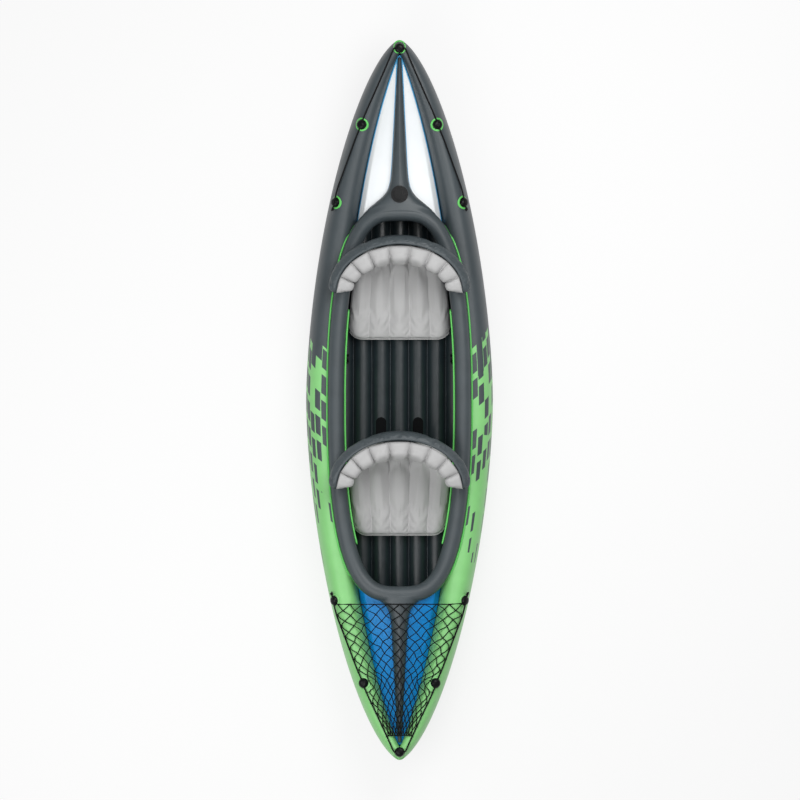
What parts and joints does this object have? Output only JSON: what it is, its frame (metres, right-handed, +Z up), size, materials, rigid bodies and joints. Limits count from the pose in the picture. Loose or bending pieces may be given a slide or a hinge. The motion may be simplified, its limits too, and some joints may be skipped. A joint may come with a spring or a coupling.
{
  "type": "inflatable tandem kayak",
  "caption": "Inflatable sit-in tandem kayak with side tubes, ribbed air floor, coaming, tufted seats with folding backs, bow cargo net and grab lines.",
  "frame": {"origin": "centre of the footprint on the ground, under the middle of the hull", "axes": "+Z up, +Y toward the stern, -Y toward the bow the paddlers face; left and right names are as seen from above with the bow toward the viewer, so right is +X"},
  "size_m": [0.8302, 3.2, 0.455],
  "materials": {
    "green_pvc": "satin coated fabric",
    "slate_pvc": "matte coated fabric",
    "floor_pvc": "matte coated fabric",
    "blue_pvc": "satin coated fabric",
    "white_pvc": "satin coated fabric",
    "piping_pvc": "glossy bead",
    "seat_pvc": "satin flocked vinyl",
    "black_plastic": "moulded matte",
    "black_cord": "braided cord",
    "hook_tape": "hook and loop tape"
  },
  "bodies": {
    "hull": {"hull_left_chamber": "green_pvc", "hull_right_chamber": "green_pvc", "bottom_skin": "slate_pvc", "ibeam_floor": "floor_pvc", "cockpit_coaming": "slate_pvc", "coaming_piping_outer": "piping_pvc", "coaming_piping_inner": "piping_pvc", "bow_deck_left": "blue_pvc", "bow_deck_right": "blue_pvc", "stern_deck_left": "white_pvc", "stern_deck_right": "white_pvc", "bow_spine": "slate_pvc", "stern_spine": "slate_pvc", "bow_eyelets": "black_plastic", "bow_eyelet_patches": "green_pvc", "stern_eyelets": "black_plastic", "stern_eyelet_patches": "piping_pvc", "bow_grab_line": "black_cord", "stern_grab_line": "black_cord", "cargo_net": "black_cord", "stern_valve_body": "black_plastic", "left_hull_valve_body": "black_plastic", "right_hull_valve_body": "black_plastic", "floor_valve_body": "black_plastic", "floor_anchor_patches": "hook_tape"},
    "rear_seat_base": {"rear_seat_cushion": "seat_pvc"},
    "rear_seat_back": {"rear_seat_back_pad": "seat_pvc", "rear_seat_back_shell": "slate_pvc", "rear_seat_valve": "black_plastic"},
    "front_seat_base": {"front_seat_cushion": "seat_pvc"},
    "front_seat_back": {"front_seat_back_pad": "seat_pvc", "front_seat_back_shell": "slate_pvc", "front_seat_valve": "black_plastic"},
    "stern_valve_lid": {"stern_valve_cap": "black_plastic"},
    "left_hull_valve_lid": {"left_hull_valve_cap": "black_plastic"},
    "right_hull_valve_lid": {"right_hull_valve_cap": "black_plastic"},
    "floor_valve_lid": {"floor_valve_cap": "black_plastic"}
  },
  "joints": [
    {"name": "rear_seat_slide", "type": "slide", "parent": "hull", "child": "rear_seat_base", "axis": [0, 1, 0], "range_m": [-0.05, 0.01]},
    {"name": "rear_back_recline", "type": "hinge", "parent": "rear_seat_base", "child": "rear_seat_back", "pos_m": [0, 0.691, 0.1699], "axis": [-1, 0, 0], "range_deg": [0, 12]},
    {"name": "front_seat_slide", "type": "slide", "parent": "hull", "child": "front_seat_base", "axis": [0, 1, 0], "range_m": [-0.02, 0.05]},
    {"name": "front_back_recline", "type": "hinge", "parent": "front_seat_base", "child": "front_seat_back", "pos_m": [0, -0.18, 0.1699], "axis": [-1, 0, 0], "range_deg": [0, 20]},
    {"name": "stern_valve_open", "type": "hinge", "parent": "hull", "child": "stern_valve_lid", "pos_m": [0, 0.94608, 0.34338], "axis": [-1, 0, 0], "range_deg": [0, 110]},
    {"name": "left_valve_open", "type": "hinge", "parent": "hull", "child": "left_hull_valve_lid", "pos_m": [-0.23164, 0.1592, 0.14], "axis": [0, 0, -1], "range_deg": [0, 110]},
    {"name": "right_valve_open", "type": "hinge", "parent": "hull", "child": "right_hull_valve_lid", "pos_m": [0.23164, 0.1592, 0.14], "axis": [0, 0, 1], "range_deg": [0, 110]},
    {"name": "floor_valve_open", "type": "hinge", "parent": "hull", "child": "floor_valve_lid", "pos_m": [0, 0.86116, 0.1022], "axis": [-1, 0, 0], "range_deg": [0, 110]}
  ]
}
